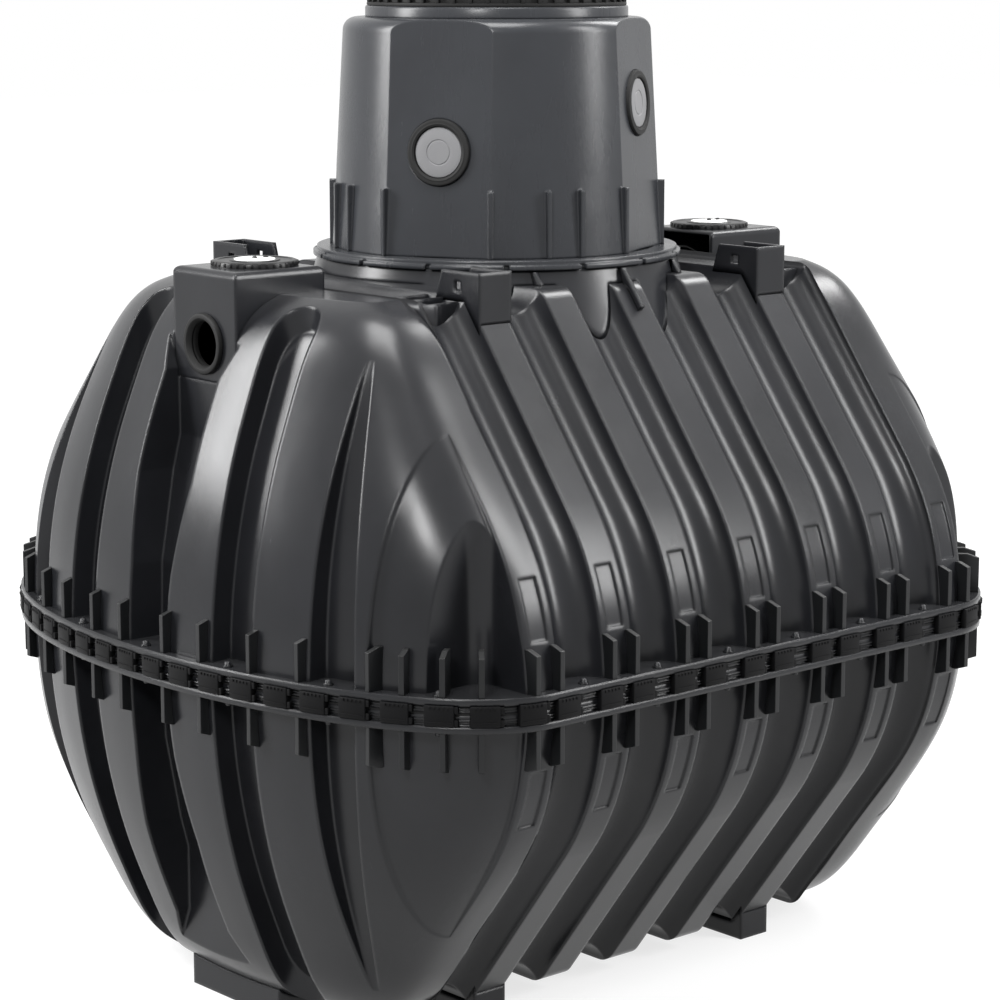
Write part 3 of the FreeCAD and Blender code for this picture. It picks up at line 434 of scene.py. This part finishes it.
# Pipe seals in the end faces, and the gripped caps on the housings with their white inserts.
def make_inlet_fittings():
    seal = lathe([(0.0550, -0.0195), (0.0540, -0.010), (0.0560, -0.006), (0.0545, 0.000), (0.0585, 0.0085),
                  (0.0620, 0.0120), (0.0680, 0.0130), (0.0720, 0.0112), (0.0740, 0.0070), (0.0740, 0.0015),
                  (0.0715, 0.0000), (0.0620, 0.0000), (0.0620, -0.0195)], FITTING_STEPS)
    grip = block((0.1005, -0.0035, 0.0015), (0.1062, 0.0035, 0.0115), 0.0012)
    cap = lathe([(0.0, 0.0128), (0.0505, 0.0128), (0.0520, 0.0140), (0.0600, 0.0140), (0.0625, 0.0118),
                 (0.0880, 0.0118), (0.0910, 0.0140), (0.0985, 0.0140), (0.1025, 0.0122), (0.1045, 0.0085),
                 (0.1045, 0.0), (0.0, 0.0)], FITTING_STEPS)
    disc = lathe([(0.0, 0.0030), (0.0180, 0.0030), (0.0190, 0.0022), (0.0210, 0.0022), (0.0220, 0.0030),
                  (0.0460, 0.0030), (0.0490, 0.0022), (0.0500, 0.0005), (0.0500, 0.0), (0.0, 0.0)],
                 DISC_STEPS)
    screw = lathe([(0.0, 0.0045), (0.0040, 0.0045), (0.0062, 0.0032), (0.0068, 0.0), (0.0, 0.0)],
                  SMALL_STEPS)
    screw_head = block((-0.0045, -0.0009, 0.0040), (0.0045, 0.0009, 0.0052), 0.0003)
    for name, end in (("left", -1.0), ("right", 1.0)):
        face = Matrix.Translation((end * INLET_FACE, 0.0, INLET_HEIGHT))
        turn = Matrix.Rotation(end * math.pi / 2.0, 4, "Y")
        add_piece("pipe_seal_" + name, [(seal, face @ turn)], "seal", "inlet_seal_" + name)
        top = Matrix.Translation((end * CAP_OFFSET, 0.0, HOUSING_TOP))
        stamps = [(cap, top)] + around(grip, CAP_GRIP_COUNT, top)
        add_piece("screw_cap_" + name, stamps, "cap", "inspection_cap_" + name)
        cap_top = top @ Matrix.Translation((0.0, 0.0, CAP_HEIGHT))
        add_piece("cap_insert_" + name, [(disc, cap_top)], "cap_disc", "cap_disc_" + name)
        screws = []
        for x in CAP_SCREW_OFFSETS:
            place = cap_top @ Matrix.Translation((x, 0.0, CAP_SCREW_SINK))
            screws += [(screw, place), (screw_head, place)]
        add_piece("cap_screws_" + name, screws, "cap")


# Blanked pipe ports on the flats of the dome: a rubber ring round a grey plug.
def make_ports():
    ring = lathe([(0.0620, -0.009), (0.0620, 0.0040), (0.0640, 0.0080), (0.0690, 0.0098), (0.0730, 0.0085),
                  (0.0755, 0.0092), (0.0800, 0.0078), (0.0820, 0.0040), (0.0820, -0.009)], FITTING_STEPS)
    plug = lathe([(0.0, 0.0046), (0.0280, 0.0048), (0.0292, 0.0038), (0.0308, 0.0038), (0.0320, 0.0050),
                  (0.0555, 0.0058), (0.0600, 0.0048), (0.0619, 0.0020), (0.0619, -0.009), (0.0, -0.009)],
                 FITTING_STEPS)
    rings = []
    plugs = []
    for middle in middles("dome_port_seals"):
        level = Vector((middle.x, middle.y, 0.0)).normalized()
        out = level * math.cos(DOME_LEAN) + Vector((0.0, 0.0, math.sin(DOME_LEAN)))
        turn = out.to_track_quat("Z", "Y").to_matrix().to_4x4()
        place = Matrix.Translation(middle - out * PORT_SINK) @ turn
        rings.append((ring, place))
        plugs.append((plug, place))
    add_piece("port_rings", rings, "seal", "dome_port_seals")
    add_piece("port_plugs", plugs, "plug", "dome_port_plugs")


# Collar on the dome and the toothed ring on it, at the heights that the photograph shows.
def make_collar():
    foot = Matrix.Translation((0.0, 0.0, DOME_TOP))
    collar = lathe([(0.3065, 0.0), (0.3340, 0.0), (0.3340, 0.0235), (0.3325, 0.0270), (0.3280, 0.0290),
                    (0.3065, 0.0290)], DOME_STEPS)
    add_piece("collar_band", [(collar, foot)], "dome", "dome_collar")
    band = lathe([(0.3055, 0.0295), (0.3290, 0.0295), (0.3300, 0.0320), (0.3290, 0.0370), (0.3190, 0.0390),
                  (0.3190, 0.0800), (0.3170, 0.0860), (0.3120, 0.0890), (0.3055, 0.0890)],
                 DOME_STEPS)
    tooth = block((0.3150, -0.0045, 0.0370), (0.3290, 0.0045, 0.0690), 0.0015)
    stamps = [(band, foot)] + around(tooth, RING_TOOTH_COUNT, foot)
    add_piece("toothed_ring", stamps, "seal", "shaft_seal_ring")


# Cover with a raised rim and boss, and treads of two lengths between them.
def make_cover():
    cover = lathe([(0.0, 0.0250), (0.0500, 0.0250), (0.0560, 0.0290), (0.0700, 0.0290), (0.0760, 0.0250),
                   (0.2950, 0.0250), (0.3020, 0.0310), (0.3280, 0.0310), (0.3380, 0.0275), (0.3420, 0.0200),
                   (0.3420, 0.0), (0.0, 0.0)], DOME_STEPS)
    tread = block((0.090, -0.006, 0.0240), (0.284, 0.006, 0.0300), 0.002)
    short_tread = block((0.190, -0.006, 0.0240), (0.284, 0.006, 0.0300), 0.002)
    top = Matrix.Translation((0.0, 0.0, SHAFT_TOP))
    stamps = [(cover, top)]
    for k in range(TREAD_COUNT):
        bar = tread if k % 2 == 0 else short_tread
        stamps.append((bar, top @ Matrix.Rotation(2.0 * math.pi * k / TREAD_COUNT, 4, "Z")))
    add_piece("cover_plate", stamps, "cover", "cover_lid")


# Webs that close the outermost channels beside the neck in open cells.
def make_neck_webs():
    stamps = []
    for x in (CHANNEL_MIDDLES[0], CHANNEL_MIDDLES[-1]):
        for side in (-1.0, 1.0):
            for y, top in WEB_PLACES:
                low = (x - WEB_HALF_LENGTH, side * y - WEB_HALF_WIDTH, WEB_FOOT)
                high = (x + WEB_HALF_LENGTH, side * y + WEB_HALF_WIDTH, top)
                stamps.append((block(low, high, WEB_BEVEL), Matrix()))
            low = (x - SPINE_HALF_WIDTH, side * SPINE_MIDDLE - SPINE_HALF_LENGTH, WEB_FOOT)
            high = (x + SPINE_HALF_WIDTH, side * SPINE_MIDDLE + SPINE_HALF_LENGTH, SPINE_TOP)
            stamps.append((block(low, high, WEB_BEVEL), Matrix()))
    add_piece("neck_webs", stamps, "shell")


def make_camera():
    camera = bpy.data.objects.new("camera", bpy.data.cameras.new("camera"))
    camera.data.lens = CAMERA_LENS
    camera.data.sensor_width = CAMERA_SENSOR
    camera.data.clip_end = CAMERA_REACH
    camera.location = CAMERA_PLACE
    camera.rotation_euler = (math.radians(90.0) + CAMERA_PITCH, 0.0, CAMERA_YAW)
    scene.collection.objects.link(camera)
    scene.camera = camera


def area_light(name, azimuth, elevation, distance, width, height, power):
    light = bpy.data.lights.new(name, "AREA")
    light.shape = "RECTANGLE"
    light.size = width
    light.size_y = height
    light.energy = power
    lamp = bpy.data.objects.new(name, light)
    turn = CAMERA_YAW + math.radians(azimuth)
    rise = math.radians(elevation)
    back = Vector((math.sin(turn) * math.cos(rise), -math.cos(turn) * math.cos(rise), math.sin(rise)))
    lamp.location = LIGHT_AIM + back * distance
    lamp.rotation_euler = back.to_track_quat("Z", "Y").to_euler()
    scene.collection.objects.link(lamp)


# One where a ray comes from the camera, a mirror or a see-through surface, nought elsewhere.
def seen_rays(tree):
    rays = add_node(tree, "ShaderNodeLightPath")
    total = rays.outputs["Is Camera Ray"]
    for kind in ("Is Glossy Ray", "Is Transmission Ray"):
        more = add_node(tree, "ShaderNodeMath", operation="ADD", use_clamp=True)
        tree.links.new(total, more.inputs[0])
        tree.links.new(rays.outputs[kind], more.inputs[1])
        total = more.outputs["Value"]
    return total


def make_world():
    world = bpy.data.worlds.new("studio")
    scene.world = world
    world.use_nodes = True
    tree = world.node_tree
    tree.nodes.clear()
    white = add_node(tree, "ShaderNodeBackground", Color=(*WHITE, 1.0), Strength=1.0)
    soft = add_node(tree, "ShaderNodeBackground", Color=(*WHITE, 1.0), Strength=WORLD_FILL)
    mix = add_node(tree, "ShaderNodeMixShader")
    tree.links.new(seen_rays(tree), mix.inputs["Fac"])
    tree.links.new(soft.outputs["Background"], mix.inputs[1])
    tree.links.new(white.outputs["Background"], mix.inputs[2])
    output = add_node(tree, "ShaderNodeOutputWorld")
    tree.links.new(mix.outputs["Shader"], output.inputs["Surface"])


def make_floor():
    mesh = bpy.data.meshes.new("floor")
    corner_signs = ((-1, -1), (1, -1), (1, 1), (-1, 1))
    corners = [(FLOOR_HALF * x, FLOOR_HALF * y, 0.0) for x, y in corner_signs]
    mesh.from_pydata(corners, [], [(0, 1, 2, 3)])
    floor = bpy.data.objects.new("floor", mesh)
    scene.collection.objects.link(floor)
    material = bpy.data.materials.new("floor_white")
    material.use_nodes = True
    tree = material.node_tree
    tree.nodes.clear()
    matt = add_node(tree, "ShaderNodeBsdfDiffuse", Color=(*FLOOR_GREY, 1.0))
    glow = add_node(tree, "ShaderNodeEmission", Color=(*WHITE, 1.0))
    reach = add_node(tree, "ShaderNodeVectorMath", operation="LENGTH")
    tree.links.new(add_node(tree, "ShaderNodeTexCoord").outputs["Object"], reach.inputs[0])
    fade = add_node(tree, "ShaderNodeMapRange")
    fade.inputs["From Min"].default_value = FLOOR_FADE_START
    fade.inputs["From Max"].default_value = FLOOR_FADE_END
    fade.inputs["To Min"].default_value = FLOOR_GLOW_NEAR
    fade.inputs["To Max"].default_value = 1.0
    tree.links.new(reach.outputs["Value"], fade.inputs["Value"])
    tree.links.new(fade.outputs["Result"], glow.inputs["Strength"])
    lit = add_node(tree, "ShaderNodeAddShader")
    tree.links.new(matt.outputs["BSDF"], lit.inputs[0])
    tree.links.new(glow.outputs["Emission"], lit.inputs[1])
    mix = add_node(tree, "ShaderNodeMixShader")
    tree.links.new(seen_rays(tree), mix.inputs["Fac"])
    tree.links.new(matt.outputs["BSDF"], mix.inputs[1])
    tree.links.new(lit.outputs["Shader"], mix.inputs[2])
    output = add_node(tree, "ShaderNodeOutputMaterial")
    tree.links.new(mix.outputs["Shader"], output.inputs["Surface"])
    mesh.materials.append(material)


make_clips()
make_edge_ridges()
make_studs()
make_inlet_fittings()
make_ports()
make_collar()
make_cover()
make_neck_webs()

scene.view_settings.view_transform = "Standard"
make_camera()
make_world()
make_floor()
for light_row in LIGHTS:
    area_light(*light_row)
